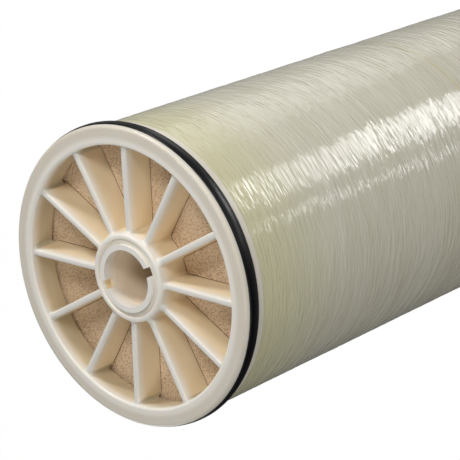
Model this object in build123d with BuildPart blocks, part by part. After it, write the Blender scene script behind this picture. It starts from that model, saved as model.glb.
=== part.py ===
"""Spiral-wound reverse osmosis membrane element, eight inches by forty, standing on end.

The element stands on its concentrate end. The feed end, which carries the brine seal, is on top.
The origin is the centre of the lower end cap's rim face, +Z runs up the permeate tube.
All sizes are in millimetres.
"""

import os
from math import hypot, radians, tan

from build123d import *

os.makedirs("parts", exist_ok=True)

# Length over everything, and how the permeate tube stands in the two caps
overall_length = 1016.0
tube_proud = 1.0
tube_set_back = 0.5
cap_span = overall_length - tube_proud

# Clearance of bonded joints on radius, and of the seal in its groove
bond_gap = 0.1
seal_side_gap = 0.2

# Permeate tube
tube_diameter = 45.4
tube_wall = 3.85
seal_bore_step = 0.4
seal_bore_depth = 10.0
notch_width = 6.0
notch_depth = 6.5
notch_angle = 8.0
perforation_diameter = 4.0
perforation_pitch = 120.0

# Membrane roll
roll_diameter = 189.0

# End cap: hub
hub_wall = 6.8
hub_draft = 0.5
hub_recess_width = 3.2
hub_recess_depth = 1.2
hub_edge_radius = 2.0
hub_recess_radius = 0.8

# End cap: rim, seal groove, rear flange and skirt
cap_depth = 24.0
rim_height = 2.2
rim_face_width = 13.2
rim_outer_radius = 2.4
rim_inner_radius = 1.8
front_flange_width = 3.2
groove_width = 10.0
groove_depth = 6.0
groove_floor_wall = 4.5
rear_flange_width = 5.1
rear_flange_height = 0.5
relief_depth = 2.0
relief_width = 2.5
skirt_wall = 1.8
skirt_length = 14.0

# End cap: spokes
spoke_count = 12
spoke_thickness = 3.6
spoke_draft = 1.8
spoke_dip_at_hub = 3.2
spoke_dip_at_rim = 2.0
spoke_edge_radius = 1.2
spoke_hub_fillet = 2.8

# Fibreglass shell
shell_lap = 1.8
shell_ramp = 8.0

# Brine seal
seal_crest_height = 1.6
seal_lip_thickness = 1.7
seal_heel_height = 1.3
seal_foot_height = 2.2
seal_lip_reach = 0.6
seal_cup_depth = 5.4
seal_edge_radius = 0.6
seal_crest_radius = 10.0

# Radii worked out from the tube and the roll outwards
tube_radius = tube_diameter / 2
core_bore_radius = tube_radius - tube_wall
seal_bore_radius = core_bore_radius + seal_bore_step
hub_bore = tube_radius + bond_gap
hub_radius = hub_bore + hub_wall
recess_radius = hub_bore + hub_recess_width
roll_radius = roll_diameter / 2
skirt_bore = roll_radius + bond_gap
skirt_radius = skirt_bore + skirt_wall
lap_bore = skirt_radius + bond_gap
shell_radius = lap_bore + shell_lap
rim_radius = shell_radius + rim_height
rear_flange_radius = shell_radius + rear_flange_height
groove_radius = rim_radius - groove_depth
rim_face_bore = rim_radius - rim_face_width
rim_back_bore = groove_radius - groove_floor_wall
relief_radius = rim_back_bore + relief_width

# Depths below a cap's front face
groove_back = front_flange_width + groove_width
shell_start = groove_back + rear_flange_width
skirt_end = cap_depth + skirt_length

# Spokes reach from inside the hub's wall to inside the rim's wall
spoke_inner = hub_bore + hub_wall / 2
spoke_outer = (relief_radius + groove_radius) / 2
spoke_length = spoke_outer - spoke_inner
spoke_back_thickness = spoke_thickness + 2 * cap_depth * tan(radians(spoke_draft))
half_pitch = 180 / spoke_count


def is_spoke_front(edge):
    """True for the long edges along both sides of the spoke's front."""
    return edge.center().Z < cap_depth / 2 and edge.length > spoke_length / 2


def is_spoke_side(face):
    """True for the flat sides of the spokes, which stand almost upright."""
    return face.geom_type == GeomType.PLANE and abs(face.normal_at().Z) < tan(radians(2 * spoke_draft))


def is_hub_root(edge):
    """True for the upright edges where a spoke's side meets the hub."""
    return edge.length > cap_depth / 2 and hypot(edge.center().X, edge.center().Y) < hub_radius + hub_wall / 2


# One spoke, whose front drops from the rim to the hub and is thinner than its back
with BuildPart() as spoke:
    with BuildSketch(Plane.XZ):
        with BuildLine():
            Polyline(
                (spoke_inner, spoke_dip_at_hub),
                (spoke_outer, spoke_dip_at_rim),
                (spoke_outer, cap_depth),
                (spoke_inner, cap_depth),
                close=True,
            )
        make_face()
    extrude(amount=spoke_back_thickness / 2, both=True)
    with BuildSketch(Plane.YZ.offset(spoke_inner)):
        with BuildLine():
            Polyline(
                (-spoke_thickness / 2, 0),
                (spoke_thickness / 2, 0),
                (spoke_back_thickness / 2, cap_depth),
                (-spoke_back_thickness / 2, cap_depth),
                close=True,
            )
        make_face()
    extrude(amount=spoke_length, mode=Mode.INTERSECT)
    fillet(edges().filter_by(is_spoke_front), spoke_edge_radius)

# Concentrate end cap, a single moulding of rim, hub and spokes
with BuildPart() as concentrate_end_cap:
    # Rim with the seal groove, the rear flange and the skirt that slips over the roll
    with BuildSketch(Plane.XZ):
        with BuildLine():
            FilletPolyline(
                (rim_face_bore, 0),
                (rim_radius, 0),
                (rim_radius, front_flange_width),
                (groove_radius, front_flange_width),
                (groove_radius, groove_back),
                (rear_flange_radius, groove_back),
                (rear_flange_radius, shell_start),
                (skirt_radius, shell_start),
                (skirt_radius, skirt_end),
                (skirt_bore, skirt_end),
                (skirt_bore, cap_depth),
                (rim_back_bore, cap_depth),
                radius=[rim_inner_radius, rim_outer_radius] + [0] * 10,
                close=True,
            )
        make_face()
    revolve(axis=Axis.Z)

    # Hub round the permeate tube, with a shallow recess at its mouth
    with BuildSketch(Plane.XZ):
        with BuildLine():
            FilletPolyline(
                (hub_bore, hub_recess_depth),
                (recess_radius, hub_recess_depth),
                (recess_radius, 0),
                (hub_radius, 0),
                (hub_radius + hub_draft, cap_depth),
                (hub_bore, cap_depth),
                radius=(0, 0, hub_recess_radius, hub_edge_radius, 0, 0),
                close=True,
            )
        make_face()
    revolve(axis=Axis.Z)

    with PolarLocations(0, spoke_count, start_angle=half_pitch):
        add(spoke.part)
    fillet(faces().filter_by(is_spoke_side).edges().filter_by(is_hub_root), spoke_hub_fillet)

    # Relief in the back, which keeps the rim and the spokes' ends off the roll's edge
    with BuildSketch(Plane.XY.offset(cap_depth - relief_depth)):
        Circle(relief_radius)
        Circle(rim_face_bore, mode=Mode.SUBTRACT)
    extrude(amount=relief_depth, mode=Mode.SUBTRACT)

concentrate_end_cap.part.label = "concentrate_end_cap"
export_step(concentrate_end_cap.part, "parts/concentrate_end_cap.step")

# Feed end cap, the same moulding turned over at the top
with BuildPart() as feed_end_cap:
    with Locations(Location((0, 0, cap_span), (180, 0, 0))):
        add(concentrate_end_cap.part)

feed_end_cap.part.label = "feed_end_cap"
export_step(feed_end_cap.part, "parts/feed_end_cap.step")

# Brine seal, a cup ring in the feed cap's groove with its lip open towards the feed
seal_foot = groove_radius + bond_gap
seal_back = cap_span - groove_back + seal_side_gap
seal_front = cap_span - front_flange_width - seal_side_gap
seal_heel = rear_flange_radius + seal_heel_height - rear_flange_height
seal_crest = rim_radius + seal_crest_height
seal_tip = rim_radius + seal_lip_reach
seal_middle = (seal_front + seal_back) / 2

with BuildPart() as brine_seal:
    with BuildSketch(Plane.XZ):
        with BuildLine():
            FilletPolyline(
                (seal_foot, seal_back),
                (seal_heel, seal_back),
                (seal_crest, seal_middle),
                (seal_tip, seal_front),
                (seal_tip - seal_lip_thickness, seal_front),
                (seal_foot + seal_foot_height, seal_front - seal_cup_depth),
                (seal_foot + seal_foot_height, seal_front),
                (seal_foot, seal_front),
                radius=(0, seal_edge_radius, seal_crest_radius, seal_edge_radius, 0, 0, 0, 0),
                close=True,
            )
        make_face()
    revolve(axis=Axis.Z)

brine_seal.part.label = "brine_seal"
export_step(brine_seal.part, "parts/brine_seal.step")

# Fibreglass shell, wound over both skirts and the roll between the rear flanges
lap_end = skirt_end + bond_gap
shell_bore = roll_radius + bond_gap

with BuildPart() as fibreglass_shell:
    with BuildSketch(Plane.XZ):
        with BuildLine():
            Polyline(
                (lap_bore, shell_start),
                (shell_radius, shell_start),
                (shell_radius, cap_span - shell_start),
                (lap_bore, cap_span - shell_start),
                (lap_bore, cap_span - lap_end),
                (shell_bore, cap_span - lap_end - shell_ramp),
                (shell_bore, lap_end + shell_ramp),
                (lap_bore, lap_end),
                close=True,
            )
        make_face()
    revolve(axis=Axis.Z)

fibreglass_shell.part.label = "fibreglass_shell"
export_step(fibreglass_shell.part, "parts/fibreglass_shell.step")

# Membrane roll, all its wound leaves as one solid between the two caps
with BuildPart() as membrane_roll:
    with BuildSketch(Plane.XY.offset(cap_depth)):
        Circle(roll_radius)
        Circle(hub_bore, mode=Mode.SUBTRACT)
    extrude(amount=cap_span - 2 * cap_depth)

membrane_roll.part.label = "membrane_roll"
export_step(membrane_roll.part, "parts/membrane_roll.step")

# Permeate tube with a wider seal bore and two drive notches at each end, and rows of holes between
tube_bottom = tube_set_back
tube_top = cap_span + tube_proud
tube_length = tube_top - tube_bottom
perforated_length = cap_span - 2 * (skirt_end + perforation_pitch / 2)
perforation_stations = max(1, int(perforated_length // perforation_pitch) + 1)
perforation_start = cap_span / 2 - (perforation_stations - 1) * perforation_pitch / 2

with BuildPart() as permeate_tube:
    with BuildSketch(Plane.XY.offset(tube_bottom)):
        Circle(tube_radius)
        Circle(core_bore_radius, mode=Mode.SUBTRACT)
    extrude(amount=tube_length)
    for end_plane in (
        Plane.XY.offset(tube_top),
        Plane(origin=(0, 0, tube_bottom), x_dir=(1, 0, 0), z_dir=(0, 0, -1)),
    ):
        with Locations(end_plane):
            Cylinder(
                seal_bore_radius,
                seal_bore_depth,
                align=(Align.CENTER, Align.CENTER, Align.MAX),
                mode=Mode.SUBTRACT,
            )
            Box(
                2 * tube_diameter,
                notch_width,
                notch_depth,
                rotation=(0, 0, notch_angle),
                align=(Align.CENTER, Align.CENTER, Align.MAX),
                mode=Mode.SUBTRACT,
            )
    for station in range(perforation_stations):
        across = Axis((0, 0, 0), (1, 0, 0)) if station % 2 else Axis((0, 0, 0), (0, 1, 0))
        with Locations(Plane((0, 0, perforation_start + station * perforation_pitch), z_dir=across.direction)):
            Cylinder(perforation_diameter / 2, 2 * tube_diameter, mode=Mode.SUBTRACT)

permeate_tube.part.label = "permeate_tube"
export_step(permeate_tube.part, "parts/permeate_tube.step")
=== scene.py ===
"""Dresses a spiral-wound reverse osmosis membrane element that stands on its concentrate end.

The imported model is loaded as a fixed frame. The operators below give each piece its finish, wind the
glass fibre shell, lay the wound leaves between the spokes, and set up the studio. Lengths are in metres.
"""

from math import atan2, cos, pi, radians, sin, tan

import bmesh
import bpy
import numpy as np
from bpy.props import FloatProperty, FloatVectorProperty, IntProperty, PointerProperty
from mathutils import Matrix, Vector


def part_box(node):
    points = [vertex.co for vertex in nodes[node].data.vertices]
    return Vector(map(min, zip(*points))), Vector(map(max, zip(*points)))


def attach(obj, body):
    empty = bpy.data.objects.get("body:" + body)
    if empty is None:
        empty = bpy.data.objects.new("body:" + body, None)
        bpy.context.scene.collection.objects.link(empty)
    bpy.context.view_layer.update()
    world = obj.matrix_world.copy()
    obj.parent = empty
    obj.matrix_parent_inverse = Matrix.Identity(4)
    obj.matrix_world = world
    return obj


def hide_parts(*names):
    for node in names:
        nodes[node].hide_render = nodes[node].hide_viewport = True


bl_info = {
    "name": "Reverse Osmosis Element",
    "version": (1, 0, 0),
    "blender": (4, 5, 0),
    "location": "3D View > Sidebar > Membrane Element",
    "description": "Finishes, winds and lights a spiral-wound membrane element",
    "category": "Object",
}

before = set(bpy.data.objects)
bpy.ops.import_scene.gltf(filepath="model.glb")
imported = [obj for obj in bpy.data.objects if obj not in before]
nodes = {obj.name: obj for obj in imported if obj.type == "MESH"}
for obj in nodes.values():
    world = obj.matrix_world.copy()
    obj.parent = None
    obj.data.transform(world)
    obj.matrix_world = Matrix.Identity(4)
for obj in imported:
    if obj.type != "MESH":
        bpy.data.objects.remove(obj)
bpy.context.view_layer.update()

MM = 0.001
SEED = 7

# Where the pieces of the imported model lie
SHELL_LOW, SHELL_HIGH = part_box("fibreglass_shell")
ROLL_LOW, ROLL_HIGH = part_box("membrane_roll")
SEAL_LOW, SEAL_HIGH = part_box("brine_seal")
TUBE_LOW, TUBE_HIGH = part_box("permeate_tube")
CAP_LOW, CAP_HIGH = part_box("feed_end_cap")

SHELL_RADIUS = SHELL_HIGH.x
ROLL_RADIUS = ROLL_HIGH.x
TUBE_RADIUS = TUBE_HIGH.x

# Sizes of the shell, the tube and the end caps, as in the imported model
SHELL_LAP_WALL = 1.8 * MM
SHELL_RAMP = 8 * MM
SHELL_FLANGE_STEP = 0.5 * MM
BOND_GAP = 0.1 * MM
SEAL_BORE_DEPTH = 10 * MM
CAP_DEPTH = CAP_HIGH.z - ROLL_HIGH.z
RIM_FACE_BORE = 87.3 * MM
RIM_BACK_BORE = 90 * MM
HUB_BACK_RADIUS = TUBE_RADIUS + 7.4 * MM
RELIEF_DEPTH = 2 * MM
SPOKE_COUNT = 12
SPOKE_THICKNESS = 3.6 * MM
SPOKE_DRAFT = radians(1.8)
SPOKE_SIDE_DEPTH = CAP_DEPTH - RELIEF_DEPTH

# Where finishes and painted light and shade change: walls by two radii, and depths below an end face by their
# start and end
RIM_WALL = (ROLL_RADIUS - 4 * MM, ROLL_RADIUS)
RIM_INNER_WALL = (RIM_FACE_BORE - 2 * MM, RIM_BACK_BORE + 3 * MM)
# Depth where the painted light on the spokes' fronts gives way to painted warm shade
SPOKE_EDGE_DEPTH = 2.6 * MM
# Where the hub's recess takes a share of the painted warm shade
HUB_RECESS_WALL = (TUBE_RADIUS + 3.0 * MM, TUBE_RADIUS + 3.4 * MM)
HUB_RECESS_DEPTH = (0.3 * MM, 1.2 * MM)
HUB_RECESS_WARM_SHADE = 0.25
# Painted warm shade on the hub's bore, seen behind the tube's notches
HUB_BORE_WALL = (TUBE_RADIUS + 0.2 * MM, TUBE_RADIUS + 0.6 * MM)
HUB_BORE_DEPTH = (1.3 * MM, 2.5 * MM)
TUBE_WALL = (TUBE_RADIUS, TUBE_RADIUS + BOND_GAP)
# Painted warm shade inside the tube's drive notches
NOTCH_WALL = (TUBE_RADIUS - 3.2 * MM, TUBE_RADIUS - 0.1 * MM)
NOTCH_DEPTH = (0.6 * MM, 2 * MM)

# Skin of the spokes: its reach from the axis, depth of its front at both ends, how far it stands out at the
# back, and half the width and the rounding of its front
SPOKE_REACH = (26.5 * MM, 91 * MM)
SPOKE_FRONT_DEPTHS = (3.2 * MM, 2.05 * MM)
SPOKE_SKIN = 0.05 * MM
SPOKE_BACK_HALF = SPOKE_THICKNESS / 2 + SPOKE_SIDE_DEPTH * tan(SPOKE_DRAFT) + SPOKE_SKIN
SPOKE_FRONT_HALF = 2.3 * MM
SPOKE_FRONT_ROUND = 1.9 * MM
SPOKE_ROUND_STEPS = 6
SPOKE_SHARP_ANGLE = radians(40)

# Roundings between the spokes and the rim: depth where they start, radius, the share of it there, the depth
# over which it grows, and how far they are sunk in the cap
ROOT_TOP = 2.4 * MM
ROOT_RADIUS = 1.7 * MM
ROOT_START = 0.15
ROOT_RUN_OUT = 2.0 * MM
ROOT_SUNK = 0.3 * MM
ROOT_LEVELS = 12
ROOT_ARC_STEPS = 8

# Moulding lines of the seal: heights above its back, how far their middle is sunk as a share of half their
# width, and steps round the seal and each line. Then the rubber's grain, against its rings
RIDGE_HEIGHTS = (1.6 * MM, 2.7 * MM, 3.8 * MM, 4.9 * MM)
RIDGE_SUNK = 0.4
RIDGE_COLUMNS = 180
RIDGE_CORNERS = 8
SEAL_GRAIN = 0.2

# Winding of the shell: lean of the two layers of fibre, length of their lines round the shell, and the size
# and range of the slow change of tone
LAYER_TILTS = {"X": 0.030, "Y": -0.024}
FIBRE_LENGTH = 50 * MM
TONE_LENGTH = 120 * MM
TONE_PITCH = 14 * MM
TONE_RANGE = (0.36, 0.64)

# Relief of the shell: wavelength along it and waves round it, for the rovings and for the wall, how far it is
# set in, its limit, and how the windings wander along the shell
ROVING_WAVES = (5 * MM, 7)
WALL_WAVES = (25 * MM, 14)
RELIEF_INSET = 0.05 * MM
RELIEF_LIMIT = 0.8 * SHELL_FLANGE_STEP
WINDING_DRIFT = 0.3 * MM
DRIFT_LENGTH = 60 * MM
DRIFT_TURNS = (1, 2, 3)

# Leaves of the roll: their number, how uneven they lie, how the net's strands shift from leaf to leaf, what
# lightens the edges, and the width of the painted contact shadow round what is seated on the roll
LEAF_COUNT = 26
LEAF_WOBBLE_SIZE = 6 * MM
LEAF_WOBBLE = 0.8
NET_SHIFT = 0.5
EDGE_LIGHT = 0.22
NET_LIGHT = 0.16
DRIFT_LIGHT = 0.55
GRAIN_RANGE = (0.3, 0.7)
GRAIN_LIGHT = (-0.35, 0.95)
CONTACT_SHADOW_WIDTH = 0.65 * MM

# Tones as shares of a base colour, among them the painted shade on the tube's step, and where that painted
# shade line starts and is full
DUST_TONE = 2
TUBE_LINE_TONE = 0.92
STEP_SHADE_TONE = 0.85
STEP_SHADE_LINE = (0.5 * MM, 0.2 * MM)


def srgb(red, green, blue):
    """A colour written as eight-bit screen values, as the linear values that Blender uses."""
    channels = (value / 255 for value in (red, green, blue))
    return tuple(c / 12.92 if c <= 0.04045 else ((c + 0.055) / 1.055) ** 2.4 for c in channels)


def colour_property(name, description, default):
    """A plain colour."""
    return FloatVectorProperty(
        name=name, description=description, default=default, size=3, min=0, max=1, subtype="COLOR"
    )


def length_property(name, description, default):
    """A length in metres."""
    return FloatProperty(
        name=name, description=description, default=default, min=0, precision=5,
        subtype="DISTANCE", unit="LENGTH",
    )


def share_property(name, description, default):
    """A share between 0 and 1."""
    return FloatProperty(
        name=name, description=description, default=default, min=0, max=1, subtype="FACTOR"
    )


def power_property(name, description, default):
    """A lamp's power in watts."""
    return FloatProperty(name=name, description=description, default=default, min=0, unit="POWER")


class EndCapSettings(bpy.types.PropertyGroup):
    """Finish of the two moulded end caps"""

    colour: colour_property("Ivory", "Colour of the moulded plastic", srgb(228, 221, 208))
    drift_colour: colour_property("Ivory drift", "Tone that the plastic drifts towards", srgb(226, 217, 200))
    # Painted light: the spokes' fronts and the hub are painted paler, where light falls on them
    painted_light_colour: colour_property("Painted light", "Tone of the spokes' fronts and the hub", srgb(246, 241, 231))
    # Painted warm shade and bounce light between the spokes, full at the warm depth
    warm_shade_colour: colour_property("Painted warm shade", "Tone between the spokes", srgb(243, 224, 190))
    warm_shade_depth: length_property("Warm depth", "Depth where the warm tone is full", 11 * MM)
    # Painted shade on the rim's inner wall
    wall_shade_colour: colour_property("Shaded ivory", "Tone of the rim's inner wall", srgb(214, 200, 170))
    # Painted warm shade behind the tube's notches
    bore_shade_colour: colour_property("Hub bore shade", "Tone behind the tube's notches", srgb(250, 228, 188))
    glow: share_property("Glow", "Share of light that passes under the surface", 0.25)
    glow_depth: length_property("Glow depth", "How far light spreads under the surface", 3 * MM)
    roughness: share_property("Roughness", "Roughness of the moulded skin", 0.32)


class SealSettings(bpy.types.PropertyGroup):
    """Finish of the brine seal"""

    colour: colour_property("Rubber", "Colour of the rubber", srgb(9, 9, 11))
    roughness: share_property("Roughness", "Roughness of the rubber", 0.3)
    ridge: length_property("Ridge", "Half the width of the moulding lines", 0.22 * MM)


class ShellSettings(bpy.types.PropertyGroup):
    """Finish of the wound glass fibre shell"""

    colour: colour_property("Resin", "Colour of the resin over the glass", srgb(224, 220, 203))
    shade_colour: colour_property("Deep resin", "Colour where the resin is thick", srgb(210, 205, 183))
    lap_colour: colour_property("Lap resin", "Colour over the end caps' skirts", srgb(214, 209, 172))
    lap_length: length_property("Lap length", "How far the tint reaches from each cap", 90 * MM)
    fibre_pitch: length_property("Fibre pitch", "Spacing of the fine winding lines", 2 * MM)
    strand_height: length_property("Strand height", "Height of the fine winding lines", 0.75 * MM)
    ragged_height: length_property("Ragged height", "Height of single strands that stand proud", 0.7 * MM)
    strand_pitch: length_property("Strand pitch", "Width of a proud strand", 2.8 * MM)
    strand_length: length_property("Strand length", "Length of a proud strand round the shell", 14 * MM)
    hollow_height: length_property("Hollow height", "Depth of the dips in the resin", 0.5 * MM)
    hollow_pitch: length_property("Hollow pitch", "Length of the dips along the shell", 11 * MM)
    hollow_length: length_property("Hollow length", "Length of the dips round the shell", 30 * MM)
    relief: length_property("Relief", "Height of the rovings under the resin", 0.04 * MM)
    waviness: length_property("Waviness", "Slow unevenness of the wound wall", 0.06 * MM)
    roughness: share_property("Roughness", "Roughness of the resin's skin", 0.1)
    tracer_depth: length_property("Tracer depth", "Depth of the thread below the feed end", 276.5 * MM)
    tracer_width: length_property("Tracer width", "Half the width of the coloured thread", 0.5 * MM)
    tracer_colour: colour_property("Tracer", "Colour of the thread that is wound in", srgb(219, 203, 156))
    columns: IntProperty(name="Columns", description="Steps round the shell", default=90, min=24)
    rows: IntProperty(name="Rows", description="Steps along the shell", default=1060, min=40)


class RollSettings(bpy.types.PropertyGroup):
    """Finish of the wound leaves"""

    leaf_colour: colour_property("Leaf", "Colour of the leaves' edges", srgb(247, 224, 194))
    gap_colour: colour_property("Gap", "Colour between the leaves", srgb(198, 160, 124))
    leaf_pitch: length_property("Leaf pitch", "Thickness of a leaf and its spacer", 1.5 * MM)
    # Painted contact shadow where the end caps sit on the roll
    contact_shadow_colour: colour_property("Contact shadow", "Colour where the end cap is seated", srgb(140, 98, 64))
    leaf_relief: length_property("Leaf relief", "Depth of the spacer below the leaves' edges", 0.15 * MM)
    strand_pitch: length_property("Strand pitch", "Spacing of the spacer's strand ends", 2 * MM)
    rows: IntProperty(name="Rows", description="Steps across an end face", default=184, min=16)
    columns: IntProperty(name="Columns", description="Steps round an end face", default=256, min=24)


class TubeSettings(bpy.types.PropertyGroup):
    """Finish of the permeate tube"""

    colour: colour_property("Tube", "Colour of the tube", srgb(250, 246, 238))
    # Painted warm shade down the bore, full at the bore depth
    bore_shade_colour: colour_property("Bore", "Colour down the bore", srgb(246, 228, 202))
    bore_shade_depth: length_property("Bore depth", "Depth where the bore's colour is full", 13 * MM)
    # Painted warm shade inside the drive notches
    notch_shade_colour: colour_property("Notch shade", "Colour inside the drive notches", srgb(250, 232, 198))
    roughness: share_property("Roughness", "Roughness of the tube", 0.38)


class StageSettings(bpy.types.PropertyGroup):
    """Studio, lamps and camera"""

    floor_colour: colour_property("Floor", "Colour of the floor", srgb(240, 240, 240))
    world_strength: FloatProperty(
        name="Room light", description="Strength of the even room light", default=0.22, min=0
    )
    key_power: power_property("Key lamp", "Power of the main lamp", 11)
    fill_power: power_property("Fill lamp", "Power of the lamp by the camera", 7.5)
    side_power: power_property("Side lamp", "Power of the lamp at the side", 3.6)
    low_power: power_property("Low lamp", "Power of the lamp level with the shell", 4)
    band_power: power_property("Band lamp", "Power of the broad strip lamp", 2)
    thin_band_power: power_property("Thin lamp", "Power of the thin strip", 0.22)
    sheen_power: power_property("Sheen lamp", "Power of the wide soft strip", 0.4)
    back_power: power_property("Back lamp", "Power of the lamp behind", 7)


def new_node(tree, kind, inputs=None, **settings):
    """Adds a shader node. An input is given as a value, or as the socket that feeds it."""
    node = tree.nodes.new(kind)
    for name, value in settings.items():
        setattr(node, name, value)
    for name, value in (inputs or {}).items():
        if isinstance(value, bpy.types.NodeSocket):
            tree.links.new(value, node.inputs[name])
        else:
            node.inputs[name].default_value = value
    return node


def maths(tree, operation, first, second=0.0, clamp=False):
    """One step of arithmetic on two values or sockets, as a socket."""
    node = new_node(tree, "ShaderNodeMath", {0: first, 1: second}, operation=operation, use_clamp=clamp)
    return node.outputs["Value"]


def blend_colours(tree, factor, low, high):
    """A colour that goes from low to high as the factor goes from 0 to 1."""
    node = new_node(tree, "ShaderNodeMix", {"Factor": factor}, data_type="RGBA")
    for name, value in (("A", low), ("B", high)):
        socket = next(s for s in node.inputs if s.name == name and s.type == "RGBA")
        if isinstance(value, bpy.types.NodeSocket):
            tree.links.new(value, socket)
        else:
            socket.default_value = (*value, 1)
    return next(s for s in node.outputs if s.type == "RGBA")


def weighted_sum(tree, *terms):
    """Sum of sockets, each times its weight."""
    total = 0.0
    for value, weight in terms:
        total = maths(tree, "ADD", total, maths(tree, "MULTIPLY", value, weight))
    return total


def toned(colour, share):
    """A share of a colour."""
    return tuple(share * channel for channel in colour)


def new_group(name, inputs, outputs):
    """An empty shader node group with named sockets, and its input and output nodes."""
    group = bpy.data.node_groups.new(name, "ShaderNodeTree")
    for socket_name, kind, default in inputs:
        socket = group.interface.new_socket(name=socket_name, in_out="INPUT", socket_type=kind)
        if default is not None:
            socket.default_value = default
    for socket_name, kind in outputs:
        group.interface.new_socket(name=socket_name, in_out="OUTPUT", socket_type=kind)
    return group, group.nodes.new("NodeGroupInput"), group.nodes.new("NodeGroupOutput")


def tone_drift_group():
    """Slow change of tone over a piece, as a mask, with fine grain as a height."""
    group, given, result = new_group(
        "Tone drift",
        (
            ("Position", "NodeSocketVector", None),
            ("Drift Size", "NodeSocketFloat", 0.05),
            ("Grain Size", "NodeSocketFloat", 0.001),
            ("Contrast", "NodeSocketFloat", 1.0),
        ),
        (("Drift", "NodeSocketFloat"), ("Grain", "NodeSocketFloat")),
    )
    drift = new_node(group, "ShaderNodeTexNoise", {
        "Vector": given.outputs["Position"],
        "Scale": maths(group, "DIVIDE", 1.0, given.outputs["Drift Size"]),
        "Detail": 3.0,
        "Roughness": 0.5,
    })
    grain = new_node(group, "ShaderNodeTexNoise", {
        "Vector": given.outputs["Position"],
        "Scale": maths(group, "DIVIDE", 1.0, given.outputs["Grain Size"]),
        "Detail": 2.0,
    })
    centred = maths(group, "SUBTRACT", drift.outputs["Fac"], 0.5)
    spread = maths(group, "MULTIPLY", centred, given.outputs["Contrast"])
    group.links.new(maths(group, "ADD", spread, 0.5, clamp=True), result.inputs["Drift"])
    group.links.new(grain.outputs["Fac"], result.inputs["Grain"])
    return group


def drawn_lines_group():
    """Fine lines that run one way, such as windings, or the lines that a die leaves along a tube."""
    group, given, result = new_group(
        "Drawn lines",
        (
            ("Position", "NodeSocketVector", None),
            ("Round Length", "NodeSocketFloat", 0.1),
            ("Length", "NodeSocketFloat", 0.001),
            ("Detail", "NodeSocketFloat", 2.0),
        ),
        (("Lines", "NodeSocketFloat"),),
    )
    across = maths(group, "DIVIDE", 1.0, given.outputs["Round Length"])
    along = maths(group, "DIVIDE", 1.0, given.outputs["Length"])
    squeeze = new_node(group, "ShaderNodeCombineXYZ", {"X": across, "Y": across, "Z": along})
    stretched = new_node(group, "ShaderNodeVectorMath", {
        0: given.outputs["Position"],
        1: squeeze.outputs["Vector"],
    }, operation="MULTIPLY")
    lines = new_node(group, "ShaderNodeTexNoise", {
        "Vector": stretched.outputs["Vector"],
        "Scale": 1.0,
        "Detail": given.outputs["Detail"],
        "Roughness": 0.6,
    })
    group.links.new(lines.outputs["Fac"], result.inputs["Lines"])
    return group


def effect(tree, group_name, build, **values):
    """Places a node group, built when first needed, with its values. An underscore stands for a space."""
    node = tree.nodes.new("ShaderNodeGroup")
    node.node_tree = bpy.data.node_groups.get(group_name) or build()
    for name, value in values.items():
        socket = node.inputs[name.replace("_", " ")]
        if isinstance(value, bpy.types.NodeSocket):
            tree.links.new(value, socket)
        else:
            socket.default_value = value
    return node.outputs


def tone_drift(tree, position, drift_size, grain_size, contrast):
    """Slow change of tone and fine grain, from the shared node group."""
    return effect(tree, "Tone drift", tone_drift_group, Position=position, Drift_Size=drift_size,
                  Grain_Size=grain_size, Contrast=contrast)


def drawn_lines(tree, position, round_length, length, detail):
    """Fine lines by their size round the element and along it, from the shared node group."""
    return effect(tree, "Drawn lines", drawn_lines_group, Position=position, Round_Length=round_length,
                  Length=length, Detail=detail)["Lines"]


def new_material(name, **constants):
    """A material with a Principled BSDF whose plain values are set on its own sockets."""
    material = bpy.data.materials.new(name)
    material.use_nodes = True
    tree = material.node_tree
    shader = tree.nodes["Principled BSDF"]
    for socket, value in constants.items():
        shader.inputs[socket.replace("_", " ")].default_value = value
    position = tree.nodes.new("ShaderNodeTexCoord").outputs["Object"]
    return material, tree, shader, position


def add_bump(tree, shader, height, depth):
    """Feeds a height to the shader's normal, as relief where a height of 1 stands for the given depth."""
    bump = new_node(tree, "ShaderNodeBump", {"Height": height, "Distance": depth, "Strength": 1.0})
    tree.links.new(bump.outputs["Normal"], shader.inputs["Normal"])


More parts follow.
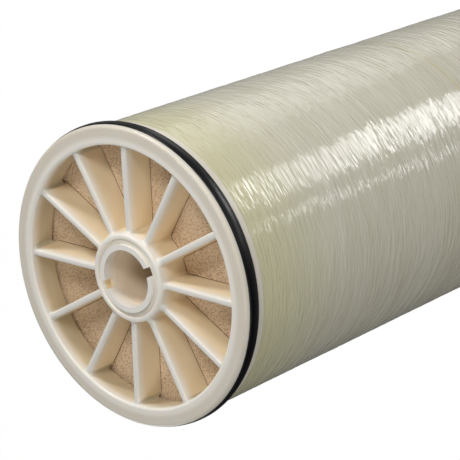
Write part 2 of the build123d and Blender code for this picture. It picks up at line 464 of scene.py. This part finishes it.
def end_cap_material(settings):
    """Satin ivory plastic that lets some light pass under its surface, with painted light on the spokes'
    fronts and the hub, and painted warm shade between the spokes, in the hub's recess, on the rim's inner
    wall and behind the tube's notches.
    """
    material, tree, shader, position = new_material(
        "end_cap_ivory",
        Roughness=settings.roughness,
        Subsurface_Weight=settings.glow,
        Subsurface_Scale=settings.glow_depth,
        Subsurface_Radius=(1.0, 0.7, 0.4),
    )
    drift = tone_drift(tree, position, drift_size=30 * MM, grain_size=0.6 * MM, contrast=1.6)
    outer = blend_colours(tree, drift["Drift"], settings.colour, settings.drift_colour)
    within = inside_mask(tree, position, RIM_WALL, (-MM, 0))
    # Painted light on the spokes' fronts and the hub, inside the rim
    edges = blend_colours(tree, within, outer, settings.painted_light_colour)
    # Painted warm shade and bounce light, deeper between the spokes
    windows = inside_mask(tree, position, RIM_WALL, (SPOKE_EDGE_DEPTH, settings.warm_shade_depth))
    # A share of the painted warm shade in the hub's recess
    recess = inside_mask(tree, position, HUB_RECESS_WALL, HUB_RECESS_DEPTH)
    warm_shade = maths(tree, "MAXIMUM", windows, maths(tree, "MULTIPLY", recess, HUB_RECESS_WARM_SHADE))
    inner = blend_colours(tree, warm_shade, edges, settings.warm_shade_colour)
    # Painted shade on the rim's inner wall
    rim_wall_shade = between_mask(tree, position, RIM_INNER_WALL, (SPOKE_EDGE_DEPTH, settings.warm_shade_depth))
    wall_shaded = blend_colours(tree, rim_wall_shade, inner, settings.wall_shade_colour)
    # Painted warm shade on the hub's bore behind the tube's notches
    hub_bore_shade = inside_mask(tree, position, HUB_BORE_WALL, HUB_BORE_DEPTH)
    colour = blend_colours(tree, hub_bore_shade, wall_shaded, settings.bore_shade_colour)
    tree.links.new(colour, shader.inputs["Base Color"])
    add_bump(tree, shader, drift["Grain"], depth=0.02 * MM)
    return material


def flattened(tree, position):
    """The position with its height taken away."""
    place = new_node(tree, "ShaderNodeSeparateXYZ", {0: position}).outputs
    return new_node(tree, "ShaderNodeCombineXYZ", {"X": place["X"], "Y": place["Y"]}).outputs["Vector"]


def axis_distance(tree, position):
    """Distance from the element's axis."""
    flat = flattened(tree, position)
    return new_node(tree, "ShaderNodeVectorMath", {0: flat}, operation="LENGTH").outputs["Value"]


def height_from(tree, position, height):
    """Distance of the position above or below a height."""
    place = new_node(tree, "ShaderNodeSeparateXYZ", {0: position}).outputs
    return maths(tree, "ABSOLUTE", maths(tree, "SUBTRACT", place["Z"], height))


def ramp(tree, value, start, end):
    """Rises smoothly from 0 to 1 as the value goes from start to end."""
    node = new_node(tree, "ShaderNodeMapRange", {"Value": value, "From Min": start, "From Max": end},
                    interpolation_type="SMOOTHSTEP")
    return node.outputs["Result"]


def depth_mask(tree, position, depth):
    """Rises from 0 to 1 between two depths below either end face of the element."""
    middle = CAP_HIGH.z / 2
    return ramp(tree, height_from(tree, position, middle), middle - depth[0], middle - depth[1])


def inside_mask(tree, position, wall, depth):
    """Rises with depth below the end faces, within a wall given by its two radii."""
    inside = ramp(tree, axis_distance(tree, position), wall[1], wall[0])
    return maths(tree, "MULTIPLY", depth_mask(tree, position, depth), inside)


def between_mask(tree, position, radii, depth):
    """Rises with depth below the end faces, between two radii."""
    distance = axis_distance(tree, position)
    outside = maths(tree, "GREATER_THAN", distance, radii[0])
    inside = maths(tree, "LESS_THAN", distance, radii[1])
    between = maths(tree, "MULTIPLY", outside, inside)
    return maths(tree, "MULTIPLY", depth_mask(tree, position, depth), between)


def seal_material(settings):
    """Smooth black rubber."""
    material, tree, shader, position = new_material("seal_rubber", Roughness=settings.roughness, IOR=1.4)
    drift = tone_drift(tree, position, drift_size=10 * MM, grain_size=0.8 * MM, contrast=1.5)
    colour = blend_colours(tree, drift["Drift"], settings.colour, toned(settings.colour, DUST_TONE))
    tree.links.new(colour, shader.inputs["Base Color"])
    rings = drawn_lines(tree, position, round_length=300 * MM, length=1.1 * MM, detail=1)
    height = weighted_sum(tree, (rings, 1), (drift["Grain"], SEAL_GRAIN))
    add_bump(tree, shader, height, depth=0.12 * MM)
    return material


def shell_material(settings):
    """Glass fibre wound round and round under a clear, uneven resin."""
    material, tree, shader, position = new_material(
        "shell_wound_glass", Roughness=settings.roughness, IOR=1.55
    )

    # Colour: two leaning layers of fibre, slow change of tone, the tint over the caps' skirts, the thread
    place = new_node(tree, "ShaderNodeSeparateXYZ", {0: position})
    layers = []
    for across, tilt in LAYER_TILTS.items():
        lean = maths(tree, "MULTIPLY", place.outputs[across], tilt)
        leaning = new_node(tree, "ShaderNodeCombineXYZ", {
            "X": place.outputs["X"],
            "Y": place.outputs["Y"],
            "Z": maths(tree, "ADD", place.outputs["Z"], lean),
        }).outputs["Vector"]
        layers.append(drawn_lines(tree, leaning, FIBRE_LENGTH, settings.fibre_pitch, detail=2))
    strands = maths(tree, "MULTIPLY", maths(tree, "ADD", *layers), 0.5)
    tone = drawn_lines(tree, position, TONE_LENGTH, TONE_PITCH, detail=4)
    contrast = new_node(tree, "ShaderNodeMapRange", {
        "Value": weighted_sum(tree, (strands, 0.5), (tone, 0.5)),
        "From Min": TONE_RANGE[0],
        "From Max": TONE_RANGE[1],
    }).outputs["Result"]
    lap = lap_mask(tree, position, settings.lap_length)
    plain = blend_colours(tree, contrast, settings.shade_colour, settings.colour)
    tinted = blend_colours(tree, lap, plain, settings.lap_colour)
    from_tracer = height_from(tree, position, CAP_HIGH.z - settings.tracer_depth)
    tracer = ramp(tree, from_tracer, 1.5 * settings.tracer_width, 0.5 * settings.tracer_width)
    threaded = blend_colours(tree, tracer, tinted, settings.tracer_colour)
    tree.links.new(threaded, shader.inputs["Base Color"])

    # Relief in millimetres: the layers of fibre, dips in the resin, and strands that stand proud
    hollows = drawn_lines(tree, position, settings.hollow_length, settings.hollow_pitch, detail=1)
    ragged = drawn_lines(tree, position, settings.strand_length, settings.strand_pitch, detail=1)
    height = weighted_sum(
        tree,
        (strands, settings.strand_height / MM),
        (hollows, settings.hollow_height / MM),
        (ragged, settings.ragged_height / MM),
    )
    add_bump(tree, shader, height, depth=MM)
    return material


def lap_mask(tree, position, length):
    """1 at the two ends of the shell, falling to 0 over the given length."""
    middle = (SHELL_LOW.z + SHELL_HIGH.z) / 2
    half = (SHELL_HIGH.z - SHELL_LOW.z) / 2
    return ramp(tree, height_from(tree, position, middle), half - length, half)


def roll_material(settings):
    """Edges of the wound leaves, with the cut strands of the net between them, and a painted contact shadow
    along the spokes and round the hub.
    """
    material, tree, shader, position = new_material("membrane_leaf_edges", Roughness=0.7)
    place = new_node(tree, "ShaderNodeSeparateXYZ", {0: position})
    wobble = new_node(tree, "ShaderNodeTexNoise", {
        "Vector": flattened(tree, position),
        "Scale": 1 / LEAF_WOBBLE_SIZE,
        "Detail": 2.0,
    })
    radius = axis_distance(tree, position)
    turn = maths(tree, "DIVIDE", maths(tree, "ARCTAN2", place.outputs["Y"], place.outputs["X"]), 2 * pi)
    layers = maths(tree, "SUBTRACT", maths(tree, "DIVIDE", radius, settings.leaf_pitch),
                   maths(tree, "MULTIPLY", turn, LEAF_COUNT))
    layers = maths(tree, "ADD", layers, maths(tree, "MULTIPLY", wobble.outputs["Fac"], LEAF_WOBBLE))
    edge = wave(tree, layers)
    mean_round = pi * (ROLL_RADIUS + TUBE_RADIUS)
    along = maths(tree, "DIVIDE", maths(tree, "MULTIPLY", turn, mean_round), settings.strand_pitch)
    strands = wave(tree, maths(tree, "ADD", along, maths(tree, "MULTIPLY", layers, NET_SHIFT)))
    drift = tone_drift(tree, position, drift_size=20 * MM, grain_size=1.2 * MM, contrast=1.6)
    grain = new_node(tree, "ShaderNodeMapRange", {
        "Value": drift["Grain"],
        "From Min": GRAIN_RANGE[0],
        "From Max": GRAIN_RANGE[1],
        "To Min": GRAIN_LIGHT[0],
        "To Max": GRAIN_LIGHT[1],
    }).outputs["Result"]
    light = weighted_sum(tree, (edge, EDGE_LIGHT), (strands, NET_LIGHT), (grain, 1))
    light = maths(tree, "ADD", light, maths(tree, "MULTIPLY", drift["Drift"], DRIFT_LIGHT), clamp=True)
    colour = blend_colours(tree, light, settings.gap_colour, settings.leaf_colour)
    # Painted contact shadow along the spokes and round the hub
    contact_shadows = contact_shadow_mask(tree, radius, turn)
    colour = blend_colours(tree, contact_shadows, colour, settings.contact_shadow_colour)
    tree.links.new(colour, shader.inputs["Base Color"])
    add_bump(tree, shader, light, depth=0.25 * MM)
    return material


def contact_shadow_mask(tree, radius, turn):
    """Painted contact shadow: thin lines on the roll's ends along both sides of each spoke, and round the
    hub, up to the rim.
    """
    sector = maths(tree, "FRACT", maths(tree, "MULTIPLY", turn, SPOKE_COUNT))
    lean = maths(tree, "MULTIPLY", maths(tree, "SUBTRACT", sector, 0.5), 2 * pi / SPOKE_COUNT)
    across = maths(tree, "ABSOLUTE", maths(tree, "MULTIPLY", maths(tree, "SINE", lean), radius))
    half = SPOKE_THICKNESS / 2 + CAP_DEPTH * tan(SPOKE_DRAFT)
    lines = [
        ramp(tree, distance, edge + CONTACT_SHADOW_WIDTH, edge + CONTACT_SHADOW_WIDTH / 3)
        for distance, edge in ((across, half), (radius, HUB_BACK_RADIUS))
    ]
    open_part = maths(tree, "LESS_THAN", radius, RIM_FACE_BORE - ROOT_RADIUS)
    return maths(tree, "MULTIPLY", maths(tree, "MAXIMUM", *lines), open_part)


def wave(tree, phase):
    """A value that swings between 0 and 1 once for each unit of the phase."""
    swing = maths(tree, "COSINE", maths(tree, "MULTIPLY", phase, 2 * pi))
    return maths(tree, "ADD", maths(tree, "MULTIPLY", swing, 0.5), 0.5)


def tube_material(settings):
    """Off-white extruded plastic with faint lines along the bore, and painted warm shade down the bore, on
    the seal bore's step and in the drive notches.
    """
    material, tree, shader, position = new_material("tube_white", Roughness=settings.roughness)
    lines = drawn_lines(tree, position, round_length=1.2 * MM, length=200 * MM, detail=2)
    outer = blend_colours(tree, lines, settings.colour, toned(settings.colour, TUBE_LINE_TONE))
    # Painted warm shade down the bore
    bore = inside_mask(tree, position, TUBE_WALL, (-MM, settings.bore_shade_depth))
    bore_shaded = blend_colours(tree, bore, outer, settings.bore_shade_colour)
    # Painted shade on the seal bore's step, dulling the light it catches
    step = maths(tree, "MULTIPLY", bore, step_shade_mask(tree, position))
    step_shaded = blend_colours(tree, step, bore_shaded, toned(settings.bore_shade_colour, STEP_SHADE_TONE))
    # Painted warm shade inside the drive notches
    notches = between_mask(tree, position, NOTCH_WALL, NOTCH_DEPTH)
    colour = blend_colours(tree, notches, step_shaded, settings.notch_shade_colour)
    tree.links.new(colour, shader.inputs["Base Color"])
    add_bump(tree, shader, lines, depth=0.03 * MM)
    return material


def step_shade_mask(tree, position):
    """1 on the small step where the seal bore at either end of the tube meets the core, where painted shade
    dulls the light that the step catches.
    """
    middle = (TUBE_LOW.z + TUBE_HIGH.z) / 2
    step = TUBE_HIGH.z - middle - SEAL_BORE_DEPTH
    from_middle = height_from(tree, position, middle)
    from_step = maths(tree, "ABSOLUTE", maths(tree, "SUBTRACT", from_middle, step))
    return ramp(tree, from_step, *STEP_SHADE_LINE)


def new_piece(name, mesh, material):
    """A piece that rides with the element."""
    mesh.materials.append(material)
    piece = bpy.data.objects.new(name, mesh)
    bpy.context.scene.collection.objects.link(piece)
    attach(piece, "root")
    return piece


def lathe_mesh(name, radii, heights):
    """A closed loop of rings round the axis, joined by quads. Radii and heights have a row for each ring."""
    rows, columns = radii.shape
    turns = np.arange(columns) * (2 * pi / columns)
    points = np.stack((radii * np.cos(turns), radii * np.sin(turns), heights), axis=-1).reshape(-1, 3)
    row, column = np.meshgrid(np.arange(rows), np.arange(columns), indexing="ij")
    next_row = (row + 1) % rows
    next_column = (column + 1) % columns
    quads = np.stack((
        row * columns + column,
        row * columns + next_column,
        next_row * columns + next_column,
        next_row * columns + column,
    ), axis=-1).reshape(-1, 4)
    mesh = bpy.data.meshes.new(name)
    mesh.vertices.add(len(points))
    mesh.vertices.foreach_set("co", points.ravel())
    mesh.loops.add(quads.size)
    mesh.loops.foreach_set("vertex_index", quads.ravel())
    mesh.polygons.add(len(quads))
    mesh.polygons.foreach_set("loop_start", np.arange(0, quads.size, 4))
    mesh.polygons.foreach_set("use_smooth", np.ones(len(quads), dtype=bool))
    mesh.update(calc_edges=True)
    return mesh


def all_round(values, columns):
    """A row for each ring of a lathe mesh, with the same value all the way round."""
    return np.repeat(values[:, None], columns, axis=1)


def smooth_series(random, count, width):
    """Random numbers of unit size that change smoothly over the given number of steps."""
    reach = int(3 * width) + 1
    steps = np.arange(-reach, reach + 1)
    kernel = np.exp(-0.5 * (steps / width) ** 2)
    noise = random.standard_normal(count + 2 * reach)
    series = np.convolve(noise, kernel, mode="valid")
    return series / np.sqrt(np.sum(kernel ** 2))


def wound_noise(random, heights, turns, wavelength, harmonics):
    """Noise of unit size on a cylinder: short waves along the axis, long ones round it."""
    step = heights[1] - heights[0]
    warp = np.zeros((len(heights), len(turns)))
    for count in DRIFT_TURNS:
        drift = smooth_series(random, len(heights), DRIFT_LENGTH / step)
        warp += drift[:, None] * np.cos(count * turns + random.uniform(0, 2 * pi))
    shifted = heights[:, None] + WINDING_DRIFT * warp
    total = np.zeros_like(shifted)
    for harmonic in range(harmonics):
        for swing in (np.cos, np.sin):
            series = smooth_series(random, len(heights), wavelength / step / 4)
            along = np.interp(shifted.ravel(), heights, series).reshape(shifted.shape)
            total += along * swing(harmonic * turns)
    return total / np.sqrt(harmonics)


def wound_shell_mesh(settings):
    """The shell, with the rovings' relief on its outside and the steps for the caps' skirts inside."""
    random = np.random.default_rng(SEED)
    heights = np.linspace(SHELL_LOW.z, SHELL_HIGH.z, settings.rows)
    turns = np.arange(settings.columns) * (2 * pi / settings.columns)
    relief = settings.relief * wound_noise(random, heights, turns, *ROVING_WAVES)
    relief += settings.waviness * wound_noise(random, heights, turns, *WALL_WAVES)
    outside = SHELL_RADIUS - RELIEF_INSET + np.clip(relief, -RELIEF_LIMIT, RELIEF_LIMIT)
    lap_bore = SHELL_RADIUS - SHELL_LAP_WALL
    roll_bore = ROLL_RADIUS + BOND_GAP
    lap_top = CAP_LOW.z - BOND_GAP
    lap_bottom = SHELL_LOW.z + SHELL_HIGH.z - lap_top
    inside = (
        (lap_bore, SHELL_HIGH.z),
        (lap_bore, lap_top),
        (roll_bore, lap_top - SHELL_RAMP),
        (roll_bore, lap_bottom + SHELL_RAMP),
        (lap_bore, lap_bottom),
        (lap_bore, SHELL_LOW.z),
    )
    bore_radii, bore_heights = np.array(inside).T
    radii = np.concatenate((outside, all_round(bore_radii, settings.columns)))
    levels = all_round(np.concatenate((heights, bore_heights)), settings.columns)
    return lathe_mesh("wound_shell", radii, levels)


def leaf_roll_mesh(settings):
    """The wound leaves: a thick tube whose two end faces have a ridge for each leaf's edge."""
    turns = np.arange(settings.columns) * (2 * pi / settings.columns)
    radii = np.linspace(ROLL_RADIUS, TUBE_RADIUS + BOND_GAP, settings.rows)
    across = all_round(radii, settings.columns)
    layers = across / settings.leaf_pitch - LEAF_COUNT * turns / (2 * pi)
    edge = 0.5 + 0.5 * np.cos(2 * pi * layers)
    cut = settings.leaf_relief * (1 - edge) ** 2
    top = ROLL_HIGH.z - cut
    bottom = (ROLL_LOW.z + cut)[::-1]
    return lathe_mesh("wound_leaves", np.concatenate((across, across[::-1])), np.concatenate((top, bottom)))


def spoke_half(depth):
    """Half the thickness of a spoke at a depth below the cap's face."""
    return SPOKE_FRONT_HALF + (SPOKE_BACK_HALF - SPOKE_FRONT_HALF) * depth / SPOKE_SIDE_DEPTH


def spoke_section(front):
    """Section across a spoke whose front lies at that depth: two round shoulders and two straight sides."""
    centre = spoke_half(front) - SPOKE_FRONT_ROUND
    right = [
        (centre + SPOKE_FRONT_ROUND * cos(angle), front + SPOKE_FRONT_ROUND - SPOKE_FRONT_ROUND * sin(angle))
        for angle in np.linspace(0, pi / 2, SPOKE_ROUND_STEPS)
    ]
    left = [(-across, depth) for across, depth in reversed(right)]
    return [(SPOKE_BACK_HALF, SPOKE_SIDE_DEPTH), *right, *left, (-SPOKE_BACK_HALF, SPOKE_SIDE_DEPTH)]


def spoke_vertex(shape, spoke, along, across, depth, at_feed_end):
    """A vertex by its place along and across one of the spokes, and its depth below the cap's face."""
    turn = radians((spoke + 0.5) * 360 / SPOKE_COUNT)
    return shape.verts.new((
        along * cos(turn) - across * sin(turn),
        along * sin(turn) + across * cos(turn),
        CAP_HIGH.z - depth if at_feed_end else depth,
    ))


def bridge_loops(shape, loops):
    """A closed body through a row of loops."""
    for lower, upper in zip(loops, loops[1:]):
        for index in range(len(lower)):
            following = (index + 1) % len(lower)
            shape.faces.new((lower[index], lower[following], upper[following], upper[index]))
    shape.faces.new(loops[0])
    shape.faces.new(loops[-1])


def smooth_mesh(shape, name):
    """The smooth mesh of some closed bodies, all faces outwards."""
    bmesh.ops.recalc_face_normals(shape, faces=shape.faces)
    mesh = bpy.data.meshes.new(name)
    shape.to_mesh(mesh)
    shape.free()
    mesh.shade_smooth()
    return mesh


def spoke_faces_mesh(name, at_feed_end):
    """The broad fronts and sides of the spokes, a closed skin round each spoke that hugs it at the back."""
    shape = bmesh.new()
    for spoke in range(SPOKE_COUNT):
        bridge_loops(shape, [[
            spoke_vertex(shape, spoke, radius, across, depth, at_feed_end)
            for across, depth in spoke_section(front - SPOKE_SKIN)
        ] for radius, front in zip(SPOKE_REACH, SPOKE_FRONT_DEPTHS)])
    mesh = smooth_mesh(shape, name)
    mesh.set_sharp_from_angle(angle=SPOKE_SHARP_ANGLE)
    return mesh


def root_fillets_mesh(name, at_feed_end):
    """Small rounded fillings in the corners between the spokes' sides and the rim."""
    shape = bmesh.new()
    levels = np.linspace(ROOT_TOP, SPOKE_SIDE_DEPTH, ROOT_LEVELS)
    for spoke in range(SPOKE_COUNT):
        for side in (-1, 1):
            bridge_loops(shape, [[
                spoke_vertex(shape, spoke, along, side * across, depth, at_feed_end)
                for along, across in root_fillet_outline(depth)
            ] for depth in levels])
    return smooth_mesh(shape, name)


def root_fillet_outline(depth):
    """Section of a root fillet beside a spoke along X: its hollow arc, and three points within the cap."""
    half = spoke_half(depth)
    wall = RIM_FACE_BORE + (RIM_BACK_BORE - RIM_FACE_BORE) * depth / CAP_DEPTH
    rise = min(1, (depth - ROOT_TOP) / ROOT_RUN_OUT + ROOT_START)
    round_off = ROOT_RADIUS * rise
    centre = Vector((((wall - round_off) ** 2 - (half + round_off) ** 2) ** 0.5, half + round_off))
    last = atan2(centre.y, centre.x)
    angles = np.linspace(-pi / 2, last, ROOT_ARC_STEPS)
    arc = [(centre.x + round_off * cos(angle), centre.y + round_off * sin(angle)) for angle in angles]
    corner = (wall ** 2 - half ** 2) ** 0.5
    outer = (arc[-1][0] + ROOT_SUNK, arc[-1][1])
    return [*arc, outer, (corner + ROOT_SUNK, half - ROOT_SUNK), (arc[0][0], half - ROOT_SUNK)]


def dress(node_name, material):
    """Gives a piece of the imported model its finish."""
    mesh = nodes[node_name].data
    mesh.materials.clear()
    mesh.materials.append(material)


class MEMBRANE_OT_end_caps(bpy.types.Operator):
    """Finish both end caps in satin ivory plastic"""

    bl_idname = "membrane.end_caps"
    bl_label = "Finish End Caps"

    def execute(self, context):
        material = end_cap_material(context.scene.end_cap_settings)
        for cap, at_feed_end in (("feed_end_cap", True), ("concentrate_end_cap", False)):
            dress(cap, material)
            for ending, build in (("_root_fillets", root_fillets_mesh), ("_spoke_faces", spoke_faces_mesh)):
                name = cap + ending
                new_piece(name, build(name, at_feed_end), material)
        return {"FINISHED"}


def seal_ridges_mesh(settings):
    """Fine moulding lines round the seal, partly sunk in it."""
    seal = nodes["brine_seal"]
    shape = bmesh.new()
    section = np.arange(RIDGE_CORNERS) * (2 * pi / RIDGE_CORNERS)
    for height in SEAL_LOW.z + np.array(RIDGE_HEIGHTS):
        skin = seal.ray_cast((2 * SEAL_HIGH.x, 0, height), (-1, 0, 0))[1]
        radii = np.minimum(skin.x + settings.ridge * (np.cos(section) - RIDGE_SUNK), SEAL_HIGH.x)
        heights = height + settings.ridge * np.sin(section)
        ring = lathe_mesh("ring", all_round(radii, RIDGE_COLUMNS), all_round(heights, RIDGE_COLUMNS))
        shape.from_mesh(ring)
        bpy.data.meshes.remove(ring)
    mesh = bpy.data.meshes.new("seal_ridges")
    shape.to_mesh(mesh)
    shape.free()
    return mesh


class MEMBRANE_OT_brine_seal(bpy.types.Operator):
    """Finish the brine seal in black rubber"""

    bl_idname = "membrane.brine_seal"
    bl_label = "Finish Brine Seal"

    def execute(self, context):
        settings = context.scene.seal_settings
        material = seal_material(settings)
        dress("brine_seal", material)
        new_piece("seal_ridges", seal_ridges_mesh(settings), material)
        return {"FINISHED"}


class MEMBRANE_OT_shell(bpy.types.Operator):
    """Wind the glass fibre shell"""

    bl_idname = "membrane.shell"
    bl_label = "Wind Shell"

    def execute(self, context):
        settings = context.scene.shell_settings
        shell = new_piece("wound_shell", wound_shell_mesh(settings), shell_material(settings))
        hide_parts("fibreglass_shell")
        return {"FINISHED"}


class MEMBRANE_OT_leaves(bpy.types.Operator):
    """Lay the wound leaves between the end caps"""

    bl_idname = "membrane.leaves"
    bl_label = "Lay Leaves"

    def execute(self, context):
        settings = context.scene.roll_settings
        roll = new_piece("wound_leaves", leaf_roll_mesh(settings), roll_material(settings))
        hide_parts("membrane_roll")
        return {"FINISHED"}


class MEMBRANE_OT_tube(bpy.types.Operator):
    """Finish the permeate tube in off-white plastic"""

    bl_idname = "membrane.tube"
    bl_label = "Finish Permeate Tube"

    def execute(self, context):
        dress("permeate_tube", tube_material(context.scene.tube_settings))
        return {"FINISHED"}


# The camera looks down on the feed end, turned so that the element runs off to the upper right
CAMERA_PLACE = Vector((0.96772, 0.20308, 1.91252))
CAMERA_RIGHT = Vector((0.721769, -0.231299, -0.652340))
CAMERA_UP = Vector((0.072376, 0.962563, -0.261210))
SENSOR_WIDTH = 36.0
FOCAL_LENGTH = 163.25

# The lamps stand round the feed end: degrees round the axis and above the level, and distance from their aim
STANDING_LAMPS = {
    "key": {"angle": 96, "rise": 22, "distance": 1.6, "size": 0.35},
    "fill": {"angle": 52, "rise": 40, "distance": 1.6, "size": 0.4},
    "side": {"angle": -42, "rise": 42, "distance": 1.5, "size": 0.6},
    "low": {"angle": 18, "rise": 3, "distance": 1.8, "size": 1.0},
    "back": {"angle": 225, "rise": 5, "distance": 1.8, "size": 1.0},
}
AIM = Vector((0, 0, 0.95))

# Strip lamps, each by the place on the shell where the camera sees it shine, in degrees round the axis and
# depth below the feed end, and their distance from that place
STRIP_LAMPS = {
    "band": {"angle": 26, "depth": 0.24, "width": 0.25, "length": 0.3, "shape": "RECTANGLE"},
    "thin_band": {"angle": 11.2, "depth": 0.08, "width": 0.06, "length": 0.2, "shape": "RECTANGLE"},
    "sheen": {"angle": 58, "depth": 0.1, "width": 0.36, "length": 0.45, "shape": "ELLIPSE"},
}
STRIP_DISTANCE = 0.8


def add_lamp(name, place, target, power, shape, width, length):
    """A soft lamp that the camera doesn't see, aimed at a point."""
    light = bpy.data.lights.new(name, "AREA")
    light.shape = shape
    light.size = width
    light.size_y = length
    light.energy = power
    lamp = bpy.data.objects.new(name, light)
    bpy.context.scene.collection.objects.link(lamp)
    lamp.location = place
    lamp.rotation_euler = (target - place).to_track_quat("-Z", "Y").to_euler()
    lamp.visible_camera = False
    return lamp


def add_standing_lamp(name, lamp, power):
    """A round lamp that stands beside the feed end and lights the element."""
    turn, rise = radians(lamp["angle"]), radians(lamp["rise"])
    towards = Vector((cos(rise) * cos(turn), cos(rise) * sin(turn), sin(rise)))
    add_lamp(name, AIM + lamp["distance"] * towards, AIM, power, "ELLIPSE", lamp["size"], lamp["size"])


def add_strip(name, strip, power):
    """A lamp where the camera sees it mirrored in the shell. It adds gloss, and no light."""
    turn = radians(strip["angle"])
    outward = Vector((cos(turn), sin(turn), 0))
    glint = outward * SHELL_RADIUS + Vector((0, 0, CAP_HIGH.z - strip["depth"]))
    seen = (glint - CAMERA_PLACE).normalized()
    mirrored = seen - 2 * seen.dot(outward) * outward
    place = glint + STRIP_DISTANCE * mirrored
    lamp = add_lamp(name, place, glint, power, strip["shape"], strip["width"], strip["length"])
    lamp.visible_diffuse = False


def add_camera():
    """The camera at the photograph's place."""
    scene = bpy.context.scene
    camera = bpy.data.cameras.new("camera")
    camera.sensor_width = SENSOR_WIDTH
    camera.lens = FOCAL_LENGTH
    placed = bpy.data.objects.new("camera", camera)
    scene.collection.objects.link(placed)
    turned = Matrix((CAMERA_RIGHT, CAMERA_UP, CAMERA_RIGHT.cross(CAMERA_UP))).transposed()
    placed.matrix_world = Matrix.Translation(CAMERA_PLACE) @ turned.to_4x4()
    scene.camera = placed


FLOOR_SIZE = 12.0
FLOOR_DROP = 0.2 * MM

# Share of the floor's look that is plain white, not lit, and how bright that white is to the camera
FLOOR_WHITENESS = 0.9
SEEN_FLOOR = 1.06

# How bright the floor is in reflections, and where this painted reflection goes from dark at one side to full
MIRRORED_FLOOR = 0.2
MIRRORED_FLOOR_EDGE = (-0.5, -0.1)


def floor_material(colour):
    """Pale floor, near white to the camera and dim in reflections, darker in reflections towards one side as
    a painted reflection, with the element's shadow kept.
    """
    material, tree, shader, position = new_material("floor_white", Roughness=0.9)
    shader.inputs["Base Color"].default_value = (*colour, 1)
    shader.inputs["Specular IOR Level"].default_value = 0.0
    path = tree.nodes.new("ShaderNodeLightPath")
    mirrored = maths(tree, "MAXIMUM", path.outputs["Is Glossy Ray"], path.outputs["Is Transmission Ray"])
    direct = maths(tree, "MULTIPLY", path.outputs["Is Camera Ray"], SEEN_FLOOR)
    across = new_node(tree, "ShaderNodeSeparateXYZ", {0: position}).outputs["Y"]
    # Painted reflection: the floor is dark in reflections towards -Y and full towards +Y
    painted_reflection_side = ramp(tree, across, *MIRRORED_FLOOR_EDGE)
    reflected = maths(tree, "MULTIPLY", maths(tree, "MULTIPLY", mirrored, painted_reflection_side), MIRRORED_FLOOR)
    strength = maths(tree, "ADD", direct, reflected)
    glow = new_node(tree, "ShaderNodeEmission", {"Color": (1, 1, 1, 1), "Strength": strength})
    seen = maths(tree, "MAXIMUM", path.outputs["Is Camera Ray"], mirrored)
    share = maths(tree, "MULTIPLY", seen, FLOOR_WHITENESS)
    mixed = new_node(tree, "ShaderNodeMixShader", {0: share, 1: shader.outputs[0], 2: glow.outputs[0]})
    tree.links.new(mixed.outputs[0], tree.nodes["Material Output"].inputs["Surface"])
    return material


def add_room(strength):
    """Dim, even light from all round, which the camera sees as white."""
    world = bpy.data.worlds.new("room")
    bpy.context.scene.world = world
    world.use_nodes = True
    tree = world.node_tree
    path = tree.nodes.new("ShaderNodeLightPath")
    seen = maths(tree, "MAXIMUM", path.outputs["Is Camera Ray"], strength)
    background = tree.nodes["Background"]
    background.inputs["Color"].default_value = (1, 1, 1, 1)
    tree.links.new(seen, background.inputs["Strength"])


def add_floor(colour):
    """The floor, just under the element."""
    mesh = bpy.data.meshes.new("floor")
    half = FLOOR_SIZE / 2
    corners = [(-half, -half, 0), (half, -half, 0), (half, half, 0), (-half, half, 0)]
    mesh.from_pydata(corners, [], [(0, 1, 2, 3)])
    floor = bpy.data.objects.new("floor", mesh)
    floor.location.z = -FLOOR_DROP
    bpy.context.scene.collection.objects.link(floor)
    mesh.materials.append(floor_material(colour))


class MEMBRANE_OT_stage(bpy.types.Operator):
    """Set up the floor, lamps, room light and camera"""

    bl_idname = "membrane.stage"
    bl_label = "Set Up Studio"

    def execute(self, context):
        settings = context.scene.stage_settings
        context.scene.view_settings.view_transform = "Standard"
        add_room(settings.world_strength)
        add_floor(settings.floor_colour)
        for lamps, add in ((STANDING_LAMPS, add_standing_lamp), (STRIP_LAMPS, add_strip)):
            for name, lamp in lamps.items():
                add(name + "_lamp", lamp, getattr(settings, name + "_power"))
        add_camera()
        return {"FINISHED"}


class MEMBRANE_PT_sidebar(bpy.types.Panel):
    """Steps that dress the element, in order"""

    bl_idname = "MEMBRANE_PT_sidebar"
    bl_label = "Membrane Element"
    bl_space_type = "VIEW_3D"
    bl_region_type = "UI"
    bl_category = "Membrane Element"

    def draw(self, context):
        for operator, settings_name in STEPS:
            box = self.layout.box()
            box.operator(operator.bl_idname)
            settings = getattr(context.scene, settings_name)
            for name in settings.__annotations__:
                box.prop(settings, name)


SETTINGS = {
    "end_cap_settings": EndCapSettings,
    "seal_settings": SealSettings,
    "shell_settings": ShellSettings,
    "roll_settings": RollSettings,
    "tube_settings": TubeSettings,
    "stage_settings": StageSettings,
}
STEPS = (
    (MEMBRANE_OT_end_caps, "end_cap_settings"),
    (MEMBRANE_OT_brine_seal, "seal_settings"),
    (MEMBRANE_OT_shell, "shell_settings"),
    (MEMBRANE_OT_leaves, "roll_settings"),
    (MEMBRANE_OT_tube, "tube_settings"),
    (MEMBRANE_OT_stage, "stage_settings"),
)


def register():
    for name, group in SETTINGS.items():
        bpy.utils.register_class(group)
        setattr(bpy.types.Scene, name, PointerProperty(type=group))
    for operator, settings_name in STEPS:
        bpy.utils.register_class(operator)
    bpy.utils.register_class(MEMBRANE_PT_sidebar)


def unregister():
    bpy.utils.unregister_class(MEMBRANE_PT_sidebar)
    for operator, settings_name in reversed(STEPS):
        bpy.utils.unregister_class(operator)
    for name, group in SETTINGS.items():
        delattr(bpy.types.Scene, name)
        bpy.utils.unregister_class(group)


def main():
    register()
    bpy.ops.membrane.end_caps()
    bpy.ops.membrane.brine_seal()
    bpy.ops.membrane.shell()
    bpy.ops.membrane.leaves()
    bpy.ops.membrane.tube()
    bpy.ops.membrane.stage()


if __name__ == "__main__":
    main()
